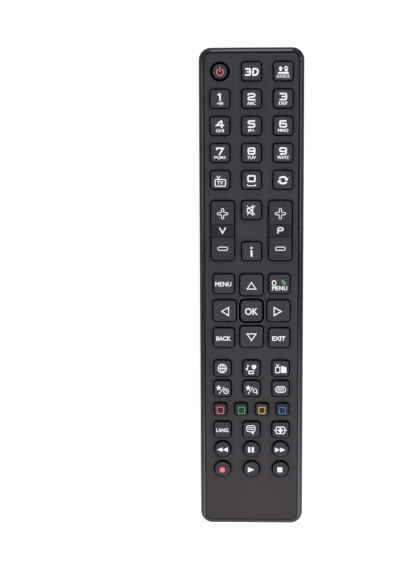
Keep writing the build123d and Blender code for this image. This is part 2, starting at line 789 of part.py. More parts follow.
# Two self-tapping screws from the tray roof up into the front housing's bosses
with BuildPart() as case_screws:
    with BuildSketch(Plane.XY.offset(roof_z - screw_head[1])):
        with Locations(*screw_points):
            Circle(screw_head[0])
    extrude(amount=screw_head[1])
    fillet(case_screws.faces().sort_by(Axis.Z)[:2].edges(), screw_head_round)
    with BuildSketch(Plane.XY.offset(roof_z - screw_head[1])):
        with Locations(*screw_points):
            Rectangle(screw_slot[0], screw_slot[1])
            Rectangle(screw_slot[1], screw_slot[0])
    extrude(amount=screw_head[1] / 2, mode=Mode.SUBTRACT)
    with BuildSketch(Plane.XY.offset(roof_z)):
        with Locations(*screw_points):
            Circle(screw_shank)
    extrude(amount=deck_z - roof_z - screw_head[1] / 2)
case_screws.part.label = "case_screws"
export_step(case_screws.part, "parts/case_screws.step")
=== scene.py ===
import bpy
import json
import math
from mathutils import Matrix, Vector


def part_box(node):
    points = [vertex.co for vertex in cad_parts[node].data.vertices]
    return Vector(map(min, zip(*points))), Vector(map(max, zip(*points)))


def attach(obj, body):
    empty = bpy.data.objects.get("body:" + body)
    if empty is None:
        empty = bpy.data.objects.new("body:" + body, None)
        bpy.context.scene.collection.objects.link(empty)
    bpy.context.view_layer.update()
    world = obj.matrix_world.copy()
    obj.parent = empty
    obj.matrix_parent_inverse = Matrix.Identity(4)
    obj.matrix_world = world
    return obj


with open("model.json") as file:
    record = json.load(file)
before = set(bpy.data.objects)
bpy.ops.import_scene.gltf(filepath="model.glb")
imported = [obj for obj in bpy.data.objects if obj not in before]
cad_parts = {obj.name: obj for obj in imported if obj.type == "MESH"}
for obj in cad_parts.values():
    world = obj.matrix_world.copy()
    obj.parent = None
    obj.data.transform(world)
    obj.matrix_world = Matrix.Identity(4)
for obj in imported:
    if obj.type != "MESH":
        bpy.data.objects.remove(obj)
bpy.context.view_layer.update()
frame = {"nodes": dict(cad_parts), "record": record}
record = frame["record"]
nodes = frame["nodes"]
scene = bpy.context.scene
scene.view_settings.view_transform = "Standard"

MM = 0.001

# Camera, from the rows of keys in the photograph
PITCH = math.radians(8.0)
YAW = math.radians(2.236)
DISTANCE = 0.606
AIM = Vector((0, 0.00255, 0.01625))
LENS = 83.3
SENSOR = 36
NEAREST = 0.01

forward_0 = Vector((0, math.sin(PITCH), math.cos(PITCH)))
up = Vector((0, math.cos(PITCH), -math.sin(PITCH)))
right_0 = Vector((1, 0, 0))
towards = -forward_0 * math.cos(YAW) - right_0 * math.sin(YAW)
right = right_0 * math.cos(YAW) - forward_0 * math.sin(YAW)
camera = bpy.data.objects.new("camera", bpy.data.cameras.new("camera"))
camera.data.lens = LENS
camera.data.sensor_width = SENSOR
camera.data.clip_start = NEAREST
turned = Matrix((right, up, -towards)).transposed().to_4x4()
camera.matrix_world = Matrix.Translation(AIM + forward_0 * DISTANCE) @ turned
scene.collection.objects.link(camera)
scene.camera = camera


def srgb(red, green, blue):
    """A colour written in 0-255 display levels, as the shader's linear values."""
    linear = []
    for level in (red, green, blue):
        share = level / 255
        linear.append(share / 12.92 if share <= 0.04045 else ((share + 0.055) / 1.055) ** 2.4)
    return (*linear, 1.0)


# Levels and sizes on the handset, in millimetres, as in the CAD
PARTING_Z = 16.25
FACE_Z = 19.65
DIP_Z = 20.25
GROOVE = 0.45
PLATE_CORNER = 2.85

# The ring is lighter from here up, between the face and the ring's top: its own paler tone and a
# painted highlight on its rim
RING_Z = 20.0

# How much of the groove takes a painted light towards the tail, from its outer edge inwards, in
# millimetres
GROOVE_LIGHT_INSET = 0.3

# Between which two places along the handset a painted light fades in towards the tail, in
# millimetres: in the groove, on the bezel and on the face
GROOVE_LIGHT_RUN = (-35, -75)
BEZEL_LIGHT_RUN = (-10, -90)
FACE_LIGHT_RUN = (-80, 60)

# Where the cells' sleeve turns from one tone to another, counted from the cells' top or foot
SLEEVE_BAND = (13, 12.6)
SLEEVE_TOP = (2.2, 2.0)
SLEEVE_FOOT = (0.8, 0.6)

# Most of a noise pattern lies between these values
NOISE_SPREAD = (0.3, 0.7)

BLACK = srgb(18, 16, 19)
# painted light on the bezel towards the tail
BEZEL_PAINTED_LIGHT = srgb(66, 63, 68)
# painted shade: dead black in the spaces under the face, in the gaps and on the walls of holes and
# keys
RECESS_SHADE = srgb(5, 5, 6)
KEY_GREY = srgb(56, 54, 63)
# the ring's paler tone with a painted highlight
RING_TONE_AND_HIGHLIGHT = srgb(78, 76, 81)
PAD_GREY = srgb(49, 47, 54)
# painted shade in the rockers' dip
DIP_SHADE = srgb(32, 30, 36)
# painted light in the groove towards the tail
GROOVE_PAINTED_LIGHT = srgb(104, 101, 106)
CASE_WEAR = srgb(46, 44, 48)
# painted highlight along the keys' top edges
KEY_EDGE_HIGHLIGHT = srgb(98, 95, 102)
# painted shade on the keys' walls over the face
KEY_FLANK_SHADE = srgb(24, 23, 27)
MASK_DARK = srgb(16, 74, 40)
MASK_LIGHT = srgb(24, 92, 50)
TRACKS = srgb(52, 132, 74)
SLEEVE_DARK = srgb(44, 62, 92)
SLEEVE_PALE = srgb(176, 178, 182)
SLEEVE_END = srgb(200, 200, 200)
SLEEVE_SCUFF = srgb(120, 126, 140)
KEY_VALUES = {"Specular IOR Level": 0.2}
KEY_LOOK = {
    "grain": (5.0, 0.02), "mottle": (0.5, 0.08), "rough": (0.42, 0.55),
    "edge_wear_and_highlight": (KEY_EDGE_HIGHLIGHT, 0.35), "flank_shade": KEY_FLANK_SHADE,
}
GLOSS = {"Specular IOR Level": 0.25}
CASE_VALUES = {"Specular IOR Level": 0.29, "Specular Tint": (0.9, 0.88, 1.0, 1.0)}


def add(tree, kind, inputs=None, **settings):
    """A new shader node, its sockets set to numbers or joined to other sockets."""
    made = tree.nodes.new(kind)
    for name, value in settings.items():
        setattr(made, name, value)
    for socket, value in (inputs or {}).items():
        if isinstance(value, bpy.types.NodeSocket):
            tree.links.new(value, made.inputs[socket])
        else:
            made.inputs[socket].default_value = value
    return made


def opened(material):
    """A material's node tree and its shader."""
    tree = material.node_tree
    return tree, tree.nodes["Principled BSDF"]


def blank(name, shader_values):
    """A new material with its node tree and its shader."""
    material = bpy.data.materials.new(name)
    material.use_nodes = True
    tree, shader = opened(material)
    for socket, value in shader_values.items():
        shader.inputs[socket].default_value = value
    return material, tree, shader


def maths(tree, operation, *values):
    """One step of arithmetic."""
    return add(tree, "ShaderNodeMath", dict(enumerate(values)), operation=operation).outputs[0]


def vector_maths(tree, operation, *values, output="Vector"):
    """One step of arithmetic on vectors; a length or distance is at the output Value."""
    made = add(tree, "ShaderNodeVectorMath", dict(enumerate(values)), operation=operation)
    return made.outputs[output]


def position(tree):
    """Where a point of the surface is on the handset, in metres."""
    return add(tree, "ShaderNodeTexCoord").outputs["Object"]


def part_of(tree, vector, axis):
    return add(tree, "ShaderNodeSeparateXYZ", {"Vector": vector}).outputs[axis]


def given_to(shader, socket):
    """What a socket of the shader is joined to so far."""
    return shader.inputs[socket].links[0].from_socket


def relief(tree, shader, height, strength, depth):
    """Bumps in the surface, their depth in millimetres."""
    inputs = {"Height": height, "Strength": strength, "Distance": depth * MM}
    made = add(tree, "ShaderNodeBump", inputs)
    tree.links.new(made.outputs["Normal"], shader.inputs["Normal"])


def noise(tree, scale, stretch=(1, 1, 1), detail=2.0, place=(0, 0, 0)):
    """Noise by place on the object: scale in patches per millimetre, stretched by axis."""
    inputs = {"Vector": position(tree), "Scale": stretch, "Location": place}
    mapped = add(tree, "ShaderNodeMapping", inputs).outputs["Vector"]
    inputs = {"Vector": mapped, "Scale": scale / MM, "Detail": detail}
    return add(tree, "ShaderNodeTexNoise", inputs).outputs["Fac"]


def ranged(tree, value, low, high, to_low, to_high):
    """A value carried from one range to another, clamped."""
    names = ("Value", "From Min", "From Max", "To Min", "To Max")
    inputs = dict(zip(names, (value, low, high, to_low, to_high)))
    return add(tree, "ShaderNodeMapRange", inputs).outputs["Result"]


def spread(tree, pattern, to_low, to_high):
    """A noise pattern carried to a range, clamped."""
    return ranged(tree, pattern, *NOISE_SPREAD, to_low, to_high)


def blended(tree, share, first, second):
    """Two colours mixed by a share from 0 to 1."""
    mixer = add(tree, "ShaderNodeMix", {0: share, 6: first, 7: second}, data_type="RGBA")
    return mixer.outputs[2]


def edges(tree, radius):
    """1 on edges sharper than a radius in millimetres, 0 on the flats."""
    bevelled = add(tree, "ShaderNodeBevel", {"Radius": radius * MM}, samples=4).outputs["Normal"]
    plain = add(tree, "ShaderNodeNewGeometry").outputs["Normal"]
    likeness = vector_maths(tree, "DOT_PRODUCT", bevelled, plain, output="Value")
    return ranged(tree, likeness, 0.995, 0.86, 0.0, 1.0)


def facing_up(tree, low=0.3, high=0.7):
    """1 where a surface faces up the handset's Z, 0 on walls and undersides."""
    normal = add(tree, "ShaderNodeTexCoord").outputs["Normal"]
    return ranged(tree, part_of(tree, normal, "Z"), low, high, 0.0, 1.0)


def above(tree, level, over=0.05):
    """1 above a level in millimetres, 0 below it, turning over a distance either side."""
    height = part_of(tree, position(tree), "Z")
    return ranged(tree, height, (level - over) * MM, (level + over) * MM, 0.0, 1.0)


def below(tree, level):
    return ranged(tree, above(tree, level), 0, 1, 1, 0)


def along(tree, limits, start=0.0, end=1.0):
    """A value that turns between two places along the handset, in millimetres."""
    where = part_of(tree, position(tree), "Y")
    return ranged(tree, where, limits[0] * MM, limits[1] * MM, start, end)


def outside(tree, past_groove=0.0):
    """0 inside the groove's outer edge, 1 on the bezel and the case's outside.

    Past_groove moves that edge outwards, in millimetres.
    """
    low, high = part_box("face_plate")
    corner = PLATE_CORNER * MM
    reach = Vector(((high.x - low.x) / 2 - corner, (high.y - low.y) / 2 - corner, 0))
    flat = vector_maths(tree, "MULTIPLY", position(tree), (1, 1, 0))
    folded = vector_maths(tree, "ABSOLUTE", flat)
    past = vector_maths(tree, "SUBTRACT", folded, reach)
    past = vector_maths(tree, "MAXIMUM", past, (0, 0, 0))
    away = vector_maths(tree, "LENGTH", past, output="Value")
    edge = corner + (GROOVE + past_groove) * MM
    wide = ranged(tree, away, edge - 0.1 * MM, edge, 0.0, 1.0)
    return maths(tree, "MAXIMUM", wide, below(tree, PARTING_Z))


def shaded(colour, factor):
    return tuple(min(1.0, part * factor) for part in colour[:3]) + (1.0,)


def mottled(tree, pattern, colour, low, high):
    """A colour made darker and lighter by a pattern."""
    return blended(tree, pattern, shaded(colour, low), shaded(colour, high))


def moulded(
    name, colour, values, grain=(6.0, 0.02), mottle=(0.15, 0.12), rough=(0.35, 0.5), edge_wear_and_highlight=None,
    flank_shade=None,
):
    """Plastic, rubber or paint: fine grain, patches of handling, worn edges, painted edge
    highlights and wall shade.

    Grain is patches per millimetre and their depth, mottle is patches per millimetre and their
    strength, the edge colour is that of worn edges or of a painted highlight on them, with their
    radius, and the flank colour is painted shade on the walls over the face.
    """
    material, tree, shader = blank(name, values)
    patches = noise(tree, mottle[0], detail=4)
    tone = spread(tree, patches, 0.0, 1.0)
    surface = mottled(tree, tone, colour, 1 - mottle[1], 1 + mottle[1])
    # lighter edges: real wear on the case, a painted highlight on the keys
    if edge_wear_and_highlight:
        rubbed = noise(tree, 0.4, detail=6, place=(0.3, 0.1, 0))
        strength = ranged(tree, rubbed, 0.35, 0.65, 0.35, 1.0)
        worn = maths(tree, "MULTIPLY", edges(tree, edge_wear_and_highlight[1]), strength)
        surface = blended(tree, worn, surface, edge_wear_and_highlight[0])
    if flank_shade:
        # painted shade on the keys' walls: dead black below the face, dark grey above it
        side = blended(tree, above(tree, FACE_Z + 0.3, 0.3), RECESS_SHADE, flank_shade)
        surface = blended(tree, facing_up(tree, 0.5, 0.8), side, surface)
    tree.links.new(surface, shader.inputs["Base Color"])
    smudges = noise(tree, 0.06, detail=5, place=(0.1, 0.7, 0))
    tree.links.new(spread(tree, smudges, *rough), shader.inputs["Roughness"])
    relief(tree, shader, noise(tree, grain[0], detail=3), 0.35, grain[1])
    return material


def cased(name):
    """The black case: satin outside, painted shade, dead black, in the spaces under the face, and
    painted light in the groove and on the bezel towards the tail.
    """
    material = moulded(
        name, BLACK, CASE_VALUES, grain=(4.0, 0.012), mottle=(0.08, 0.2), rough=(0.08, 0.17),
        edge_wear_and_highlight=(CASE_WEAR, 0.4),
    )
    tree, shader = opened(material)
    outer = outside(tree)
    # painted light in the groove towards the tail; elsewhere the groove and the spaces under the
    # face take painted shade
    foot = maths(tree, "MULTIPLY", outside(tree, -GROOVE_LIGHT_INSET), along(tree, GROOVE_LIGHT_RUN))
    inner = blended(tree, foot, RECESS_SHADE, GROOVE_PAINTED_LIGHT)
    # painted light: the bezel's upward faces are paler towards the tail, as if lit from there
    bezel_light_share = along(tree, BEZEL_LIGHT_RUN)
    for share in (facing_up(tree), above(tree, PARTING_Z)):
        bezel_light_share = maths(tree, "MULTIPLY", bezel_light_share, share)
    bezel = blended(tree, bezel_light_share, given_to(shader, "Base Color"), BEZEL_PAINTED_LIGHT)
    tree.links.new(blended(tree, outer, inner, bezel), shader.inputs["Base Color"])

    # the sheen fades from the flats to the upright walls
    normal = add(tree, "ShaderNodeTexCoord").outputs["Normal"]
    flatness = maths(tree, "ABSOLUTE", part_of(tree, normal, "Z"))
    sheen = ranged(tree, flatness, 0.4, 0.85, 0.05, 0.29)
    tree.links.new(maths(tree, "MULTIPLY", outer, sheen), shader.inputs["Specular IOR Level"])

    # the lining of the back, seen with the cover off, is duller
    lining = maths(tree, "MULTIPLY", facing_up(tree), below(tree, PARTING_Z))
    least = ranged(tree, lining, 0, 1, 0.0, 0.5)
    dulled = maths(tree, "MAXIMUM", given_to(shader, "Roughness"), least)
    tree.links.new(dulled, shader.inputs["Roughness"])
    return material


def dipped(name):
    """The rockers: a little darker than the keys, with painted shade in the dip between the pads.
    """
    material = moulded(name, PAD_GREY, KEY_VALUES, **KEY_LOOK)
    tree, shader = opened(material)
    # painted shade in the dip between the pads
    pads = above(tree, DIP_Z + 0.35, 0.3)
    surface = blended(tree, pads, DIP_SHADE, given_to(shader, "Base Color"))
    tree.links.new(surface, shader.inputs["Base Color"])
    return material


def brushed(name, colour, tail_light_and_cloud_colour):
    """The face: hairlines along the handset, broad faint streaks, clouds of a warmer tone, and
    painted light, lighter and warmer, towards the tail.
    """
    material, tree, shader = blank(name, {"Specular IOR Level": 0.2, "Anisotropic": 0.4})
    broad = noise(tree, 1.5, stretch=(1, 0.012, 0.2), detail=3)
    fine = noise(tree, 7.0, stretch=(1, 0.01, 0.2), detail=4)
    clouds = noise(tree, 0.03, detail=3)
    bands = mottled(tree, ranged(tree, broad, 0.36, 0.64, 0, 1), colour, 0.82, 1.16)
    # painted light: the face turns lighter and warmer towards the tail, as if lit from there
    streaked = blended(tree, along(tree, FACE_LIGHT_RUN, 0.8, 0.0), bands, tail_light_and_cloud_colour)
    hairs = ranged(tree, fine, 0.35, 0.65, 0, 0.35)
    lined = blended(tree, hairs, streaked, shaded(colour, 0.55))
    toned = blended(tree, spread(tree, clouds, 0, 0.2), lined, tail_light_and_cloud_colour)
    # the ring: its own paler tone and a painted highlight on its rim
    ringed = blended(tree, above(tree, RING_Z), toned, RING_TONE_AND_HIGHLIGHT)
    # painted shade on the walls of the face's holes
    walled = blended(tree, facing_up(tree), RECESS_SHADE, ringed)
    tree.links.new(walled, shader.inputs["Base Color"])
    tree.links.new(spread(tree, fine, 0.38, 0.55), shader.inputs["Roughness"])
    relief(tree, shader, fine, 0.3, 0.015)
    return material


def metal(name, colour, rough=(0.22, 0.4), stretch=(1, 1, 1)):
    """Plated metal with rolling or drawing marks and dull patches."""
    material, tree, shader = blank(name, {"Metallic": 1.0})
    marks = noise(tree, 3.0, stretch=stretch, detail=5)
    tone = spread(tree, marks, 0, 1)
    tree.links.new(mottled(tree, tone, colour, 0.8, 1.1), shader.inputs["Base Color"])
    tree.links.new(spread(tree, marks, *rough), shader.inputs["Roughness"])
    relief(tree, shader, marks, 0.2, 0.01)
    return material


def tinted_key(name, centre, layers):
    """A grey key whose top takes its colour round the printed mark, fading outwards."""
    material = moulded(name, KEY_GREY, KEY_VALUES, **KEY_LOOK)
    tree, shader = opened(material)
    surface = given_to(shader, "Base Color")
    away = vector_maths(tree, "DISTANCE", position(tree), centre, output="Value")
    for tint, full, none, strength in layers:
        share = ranged(tree, away, full * MM, none * MM, strength, 0.0)
        surface = blended(tree, share, surface, tint)
    tree.links.new(surface, shader.inputs["Base Color"])
    return material


def laminate():
    """Solder mask over copper: tracks as finer lines of a lighter green, and the weave."""
    material, tree, shader = blank("laminate", {"Coat Weight": 0.3})
    inputs = {"Vector": position(tree), "Scale": 1 / MM, "Mortar Size": 0.16}
    inputs.update({"Brick Width": 5.2, "Row Height": 1.3})
    bricks = add(tree, "ShaderNodeTexBrick", inputs)
    tracks = ranged(tree, bricks.outputs["Fac"], 0.2, 0.8, 0, 1)
    weave = noise(tree, 2.4, stretch=(1, 4, 1), detail=3)
    mask = blended(tree, spread(tree, weave, 0, 1), MASK_DARK, MASK_LIGHT)
    tree.links.new(blended(tree, tracks, mask, TRACKS), shader.inputs["Base Color"])
    tree.links.new(spread(tree, weave, 0.3, 0.45), shader.inputs["Roughness"])
    relief(tree, shader, tracks, 0.4, 0.03)
    return material


def cell_sleeve():
    """The cells: a plain two tone metallic sleeve, worn silver at the ends."""
    material, tree, shader = blank("cell_sleeve", {"Metallic": 0.7})
    low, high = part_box("battery_cells")
    band = [high.y / MM - down for down in SLEEVE_BAND]
    top = [high.y / MM - down for down in SLEEVE_TOP]
    foot = [low.y / MM + rise for rise in SLEEVE_FOOT]
    body = blended(tree, along(tree, band), SLEEVE_DARK, SLEEVE_PALE)
    for limits in (top, foot):
        body = blended(tree, along(tree, limits), body, SLEEVE_END)
    scuffs = noise(tree, 3.0, stretch=(1, 0.3, 1), detail=6)
    marks = ranged(tree, scuffs, 0.58, 0.78, 0, 0.4)
    tree.links.new(blended(tree, marks, body, SLEEVE_SCUFF), shader.inputs["Base Color"])
    tree.links.new(spread(tree, scuffs, 0.22, 0.42), shader.inputs["Roughness"])
    relief(tree, shader, scuffs, 0.2, 0.01)
    return material


looks = {
    "black_plastic": cased("black_plastic"),
    "brushed_face": brushed("brushed_face", srgb(54, 52, 60), srgb(63, 58, 61)),
    "key_grey": moulded("key_grey", KEY_GREY, KEY_VALUES, **KEY_LOOK),
    "rocker_grey": dipped("rocker_grey"),
    "tinted_window": moulded(
        "tinted_window", srgb(34, 9, 14), {"Transmission Weight": 0.15, "Specular IOR Level": 0.12},
        grain=(1.0, 0.004), rough=(0.04, 0.12),
    ),
    "silicone": moulded(
        "silicone", srgb(150, 150, 152), {"Specular IOR Level": 0.3}, rough=(0.55, 0.75)
    ),
    "component_black": moulded("component_black", srgb(28, 28, 30), GLOSS, rough=(0.4, 0.6)),
    "lamp_resin": moulded(
        "lamp_resin", srgb(130, 160, 200), {"Transmission Weight": 0.8}, grain=(1.0, 0.004),
        rough=(0.04, 0.1),
    ),
    "contact_metal": metal("contact_metal", srgb(214, 212, 206), stretch=(1, 8, 8)),
    "spring_steel": metal("spring_steel", srgb(206, 206, 204), rough=(0.18, 0.3)),
    "screw_steel": metal("screw_steel", srgb(90, 90, 92)),
    "laminate": laminate(),
    "cell_sleeve": cell_sleeve(),
}

# Tints of the coloured keys, in layers: colour, reach of the full tint, where it ends, strength
TINTS = {
    "red": [(srgb(64, 34, 40), 1.4, 3.0, 0.6), (srgb(76, 18, 28), 1.0, 1.9, 0.95)],
    "green": [(srgb(20, 50, 36), 2.4, 3.8, 0.9), (srgb(14, 56, 34), 1.0, 1.9, 0.9)],
    "yellow": [(srgb(70, 54, 24), 1.4, 3.0, 0.6), (srgb(66, 42, 8), 1.0, 1.9, 0.9)],
    "blue": [(srgb(24, 34, 52), 2.2, 3.6, 0.8), (srgb(20, 38, 74), 1.0, 1.9, 0.8)],
    "power": [(srgb(76, 26, 34), 1.4, 3.0, 0.85)],
    "record": [(srgb(80, 26, 34), 1.4, 2.5, 0.9)],
}


def key_centre(name):
    """The middle of a cap's top."""
    low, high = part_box(name)
    return Vector(((low.x + high.x) / 2, (low.y + high.y) / 2, high.z))


for entry in record["subparts"]:
    name = entry["node"]
    if name in TINTS:
        look = tinted_key("key_" + name, key_centre(name), TINTS[name])
    elif name in ("volume_rocker", "programme_rocker"):
        look = looks["rocker_grey"]
    else:
        look = looks[entry["material_slot"]]
    slots = nodes[name].data.materials
    if len(slots):
        for index in range(len(slots)):
            slots[index] = look
    else:
        slots.append(look)


# Legends are flat prints on the caps. A shape is a list of points, in millimetres from the
# middle of the cap's top, and the faces that they make. Each shape of a legend lies a step over
# the one before.
PRINT_LIFT = 0.02
PRINT_STEP = 0.002
STRIKE = 0.08

# How finely curves are cut, and how much of a side a rounded corner may take
CORNER_STEPS = 5
CORNER_SHARE = 0.49
ARC_STEP = 12
ARC_LEAST = 8
LETTER_STEPS = 4


def left_of(start, end):
    """The direction to the left of a line."""
    run = (end - start).normalized()
    return Vector((-run.y, run.x))


def eased(points, radius, closed):
    """A line with its corners rounded."""
    points = [Vector(point) for point in points]
    if not radius:
        return points
    line = []
    for index, corner in enumerate(points):
        if not closed and index in (0, len(points) - 1):
            line.append(corner)
            continue
        before = points[index - 1] - corner
        after = points[(index + 1) % len(points)] - corner
        start = corner + before.normalized() * min(radius, before.length * CORNER_SHARE)
        end = corner + after.normalized() * min(radius, after.length * CORNER_SHARE)
        for step in range(CORNER_STEPS + 1):
            share = step / CORNER_STEPS
            bend = start * (1 - share) ** 2 + corner * 2 * share * (1 - share)
            line.append(bend + end * share**2)
    return line


def moved_aside(points, distance, closed):
    """A line moved to its left, its corners kept sharp."""
    line = []
    last = len(points) - 1
    for index, point in enumerate(points):
        sides = []
        if closed or index > 0:
            sides.append(left_of(points[index - 1], point))
        if closed or index < last:
            sides.append(left_of(point, points[(index + 1) % len(points)]))
        mean = sum(sides, Vector((0, 0))) / len(sides)
        line.append(point + mean * distance / mean.length_squared)
    return line


def stroke(points, width, radius=0.0, closed=False):
    """A line of even width. A closed one has a hole."""
    line = eased(points, radius, closed)
    one = moved_aside(line, width / 2, closed)
    other = moved_aside(line, -width / 2, closed)
    count = len(line)
    faces = []
    for index in range(count if closed else count - 1):
        after = (index + 1) % count
        faces.append((index, after, count + after, count + index))
    return [(one + other, faces)]


def filled(points, radius=0.0):
    line = eased(points, radius, True)
    return [(line, [tuple(range(len(line)))])]


def arc(x, y, radius, start=0, end=360, squash=1.0):
    """Points on an arc, angles in degrees from +X; squash narrows it across.

    A full turn leaves out the point that repeats the first.
    """
    count = max(ARC_LEAST, int(abs(end - start) / ARC_STEP))
    full = abs(end - start) == 360
    angles = [math.radians(start + (end - start) * i / count) for i in range(count + (not full))]
    return [(x + radius * math.cos(a) * squash, y + radius * math.sin(a)) for a in angles]


def disc(x, y, radius):
    return filled(arc(x, y, radius))


def ring(x, y, radius, width, squash=1.0):
    return stroke(arc(x, y, radius, squash=squash), width, closed=True)


def block(left, right, low, high, radius=0.0):
    return filled([(left, low), (right, low), (right, high), (left, high)], radius)


def outline(left, right, low, high, width, radius=0.0):
    inset = width / 2
    corners = [
        (left + inset, low + inset), (right - inset, low + inset),
        (right - inset, high - inset), (left + inset, high - inset),
    ]
    return stroke(corners, width, radius, closed=True)


def star(x, y, size, points=5, inner=0.42):
    corners = []
    for index in range(2 * points):
        reach = size if index % 2 == 0 else size * inner
        angle = math.pi / 2 + index * math.pi / points
        corners.append((x + reach * math.cos(angle), y + reach * math.sin(angle)))
    return filled(corners)


def words(text, x, y, width, height, weight=0.03):
    """Plain lettering, fitted to a width and height about its middle."""
    curve = bpy.data.curves.new("words", "FONT")
    curve.body = text
    curve.offset = weight
    curve.resolution_u = LETTER_STEPS
    holder = bpy.data.objects.new("words", curve)
    scene.collection.objects.link(holder)
    bpy.context.view_layer.update()
    mesh = bpy.data.meshes.new_from_object(holder)
    flat = [vertex.co.xy for vertex in mesh.vertices]
    faces = [tuple(polygon.vertices) for polygon in mesh.polygons]
    bpy.data.objects.remove(holder)
    bpy.data.meshes.remove(mesh)
    low = Vector((min(p.x for p in flat), min(p.y for p in flat)))
    high = Vector((max(p.x for p in flat), max(p.y for p in flat)))
    scale = Vector((width / (high.x - low.x), height / (high.y - low.y)))
    middle = (low + high) / 2
    offsets = [((p.x - middle.x) * scale.x, (p.y - middle.y) * scale.y) for p in flat]
    return [([Vector((x, y)) + Vector(offset) for offset in offsets], faces)]


def struck_twice(text, x, y, width, height):
    """Lettering made bolder by a second strike beside the first; an M keeps its notches so."""
    first = words(text, x - STRIKE, y, width, height, 0.0)
    return first + words(text, x + STRIKE, y, width, height, 0.0)


def signed_area(loop):
    return sum(a.x * b.y - b.x * a.y for a, b in zip(loop, loop[1:] + loop[:1])) / 2


def print_on(name, ink, shapes, top=None):
    """One flat piece of print on a cap, riding with it."""
    centre = key_centre(name)
    level = centre.z if top is None else top
    corners = []
    faces = []
    for rank, shape in enumerate(shapes):
        height = level + (PRINT_LIFT + rank * PRINT_STEP) * MM
        first = len(corners)
        points, loops = shape
        corners += [(centre.x + p.x * MM, centre.y + p.y * MM, height) for p in points]
        for loop in loops:
            turned_loop = loop if signed_area([points[i] for i in loop]) > 0 else loop[::-1]
            faces.append([first + i for i in turned_loop])
    mesh = bpy.data.meshes.new(name + "_" + ink)
    mesh.from_pydata(corners, [], faces)
    mesh.materials.append(inks[ink])
    piece = bpy.data.objects.new(name + "_" + ink, mesh)
    scene.collection.objects.link(piece)
    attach(piece, name)
    return piece


INK = {"Specular IOR Level": 0.4}
INK_LOOK = {"grain": (12.0, 0.006), "mottle": (2.0, 0.04), "rough": (0.4, 0.6)}
inks = {
    "white": moulded("ink_white", srgb(252, 252, 254), INK, **INK_LOOK),
    "pink": moulded("ink_pink", srgb(206, 122, 132), INK, **INK_LOOK),
    "red": moulded("ink_red", srgb(222, 124, 134), INK, **INK_LOOK),
    "green": moulded("ink_green", srgb(104, 158, 128), INK, **INK_LOOK),
    "yellow": moulded("ink_yellow", srgb(216, 190, 118), INK, **INK_LOOK),
    "blue": moulded("ink_blue", srgb(88, 122, 178), INK, **INK_LOOK),
    "leaf": moulded("ink_leaf", srgb(92, 172, 122), INK, **INK_LOOK),
    "dot": moulded("ink_dot", srgb(236, 130, 142), INK, **INK_LOOK),
}

# Digits: a squared, wide hand of even weight
DIGIT_WEIGHT = 0.7
DIGIT_HALF = (1.42, 1.32)
DIGIT_RADIUS = 0.7
DIGIT_UP = 0.88
LETTERS_DOWN = -2.02
LETTERS_HEIGHT = 1.4

# Each digit is its lines: their points, whether their corners are round, whether they close
w, h = DIGIT_HALF
stem = DIGIT_WEIGHT / 2
digit_lines = {
    "1": [
        ([(0.1, h + 0.35), (0.1, -h - 0.41)], 0, False),
        ([(-0.95, h - 0.6), (0.2, h + 0.1)], 0, False),
    ],
    "2": [
        ([(-w, 0.55), (-w, h), (w, h), (w, 0.05), (-w, -0.25), (-w, -h), (w + 0.35, -h)], 1, False),
    ],
    "3": [
        ([(-w - 0.2, h), (w, h), (w, -h), (-w - 0.2, -h)], 1, False),
        ([(-0.7, 0), (w - 0.3, 0)], 0, False),
    ],
    "4": [
        ([(0.85, -h - 0.41), (0.85, h)], 0, False),
        ([(0.95, h), (0.35, h), (-w, -0.5), (w + 0.4, -0.5)], 0, False),
    ],
    "5": [([(w + 0.2, h), (-w, h), (-w, 0.15), (w, 0.15), (w, -h), (-w - 0.2, -h)], 1, False)],
    "6": [([(w, h), (-w, h), (-w, -h), (w, -h), (w, 0.15), (stem - w, 0.15)], 1, False)],
    "7": [([(-w, 0.5), (-w, h), (w, h), (-0.35, -h - 0.41)], 0, False)],
    "8": [
        ([(-w, -h), (w, -h), (w, h), (-w, h)], 1, True),
        ([(-w + 0.3, 0), (w - 0.3, 0)], 0, False),
    ],
    "9": [([(-w, -h), (w, -h), (w, h), (-w, h), (-w, -0.15), (w - stem, -0.15)], 1, False)],
}
letters = {
    "1": ("-/@", 3.1), "2": ("ABC", 3.9), "3": ("DEF", 3.8), "4": ("GHI", 3.5), "5": ("JKL", 3.2),
    "6": ("MNO", 4.5), "7": ("PQRS", 5.0), "8": ("TUV", 3.8), "9": ("WXYZ", 5.2),
}
for digit, lines in digit_lines.items():
    shapes = []
    for points, rounding, closed in lines:
        raised = [(x, y + DIGIT_UP) for x, y in points]
        shapes += stroke(raised, DIGIT_WEIGHT, DIGIT_RADIUS * rounding, closed)
    text, across = letters[digit]
    shapes += struck_twice(text, 0, LETTERS_DOWN, across, LETTERS_HEIGHT)
    print_on("digit_" + digit, "white", shapes)

